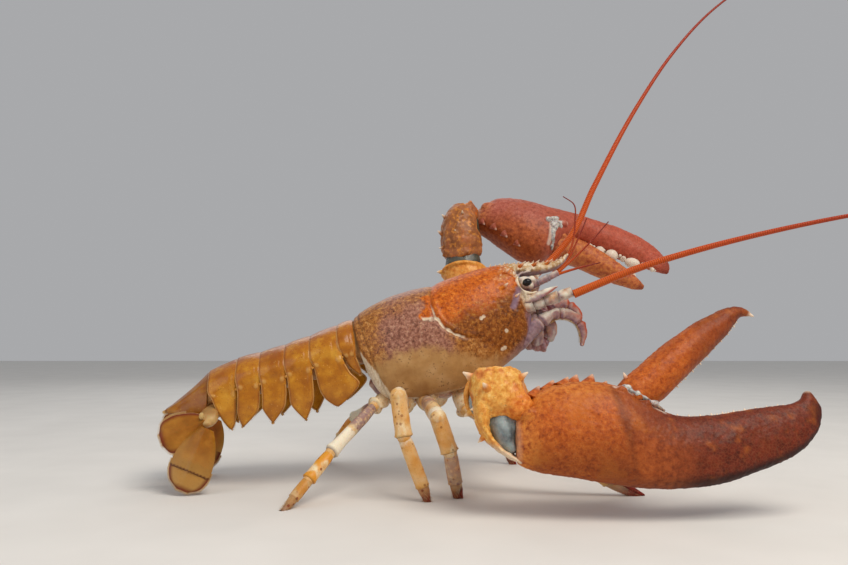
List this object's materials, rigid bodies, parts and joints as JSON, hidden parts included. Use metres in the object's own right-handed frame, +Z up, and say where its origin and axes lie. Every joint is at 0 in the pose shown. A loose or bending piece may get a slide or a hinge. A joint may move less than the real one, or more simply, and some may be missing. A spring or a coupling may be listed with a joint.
{
  "type": "american lobster",
  "caption": "Life-size still model of an American lobster standing on its leg tips, head raised, claws and feelers held forward.",
  "frame": {"origin": "middle of the base of the whole animal's box, on the plane that the leg tips stand on", "axes": "+X forwards out of the head, +Y to the animal's left, +Z up"},
  "size_m": [0.5014, 0.2134, 0.3665],
  "materials": {
    "back_shell": "satin",
    "tail_shell": "satin",
    "claw_shell": "satin",
    "leg_shell": "satin",
    "pale_shell": "satin",
    "feeler": "satin",
    "eye_black": "gloss"
  },
  "bodies": {
    "root": {"carapace": "back_shell", "sternum": "pale_shell", "abdomen_1": "tail_shell", "abdomen_2": "tail_shell", "abdomen_3": "tail_shell", "abdomen_4": "tail_shell", "abdomen_5": "tail_shell", "abdomen_6": "tail_shell", "telson": "tail_shell", "mouthparts": "pale_shell", "uropod_base_right": "tail_shell", "uropod_inner_right": "tail_shell", "uropod_outer_right": "tail_shell", "eyestalk_right": "pale_shell", "eye_right": "eye_black", "antenna_base_right": "pale_shell", "antenna_scale_right": "pale_shell", "antenna_flagellum_right": "feeler", "antenna_tip_right": "feeler", "antennule_right": "feeler", "maxilliped_right": "pale_shell", "claw_arm_right": "claw_shell", "claw_wrist_right": "claw_shell", "claw_palm_right": "claw_shell", "claw_finger_right": "claw_shell", "leg_1_upper_right": "leg_shell", "leg_1_lower_right": "leg_shell", "leg_2_upper_right": "leg_shell", "leg_2_lower_right": "leg_shell", "leg_3_upper_right": "leg_shell", "leg_3_lower_right": "leg_shell", "leg_4_upper_right": "leg_shell", "leg_4_lower_right": "leg_shell", "uropod_base_left": "tail_shell", "uropod_inner_left": "tail_shell", "uropod_outer_left": "tail_shell", "eyestalk_left": "pale_shell", "eye_left": "eye_black", "antenna_base_left": "pale_shell", "antenna_scale_left": "pale_shell", "antenna_flagellum_left": "feeler", "antenna_tip_left": "feeler", "antennule_left": "feeler", "maxilliped_left": "pale_shell", "claw_arm_left": "claw_shell", "claw_wrist_left": "claw_shell", "claw_palm_left": "claw_shell", "claw_finger_left": "claw_shell", "leg_1_upper_left": "leg_shell", "leg_1_lower_left": "leg_shell", "leg_2_upper_left": "leg_shell", "leg_2_lower_left": "leg_shell", "leg_3_upper_left": "leg_shell", "leg_3_lower_left": "leg_shell", "leg_4_upper_left": "leg_shell", "leg_4_lower_left": "leg_shell"}
  },
  "joints": []
}
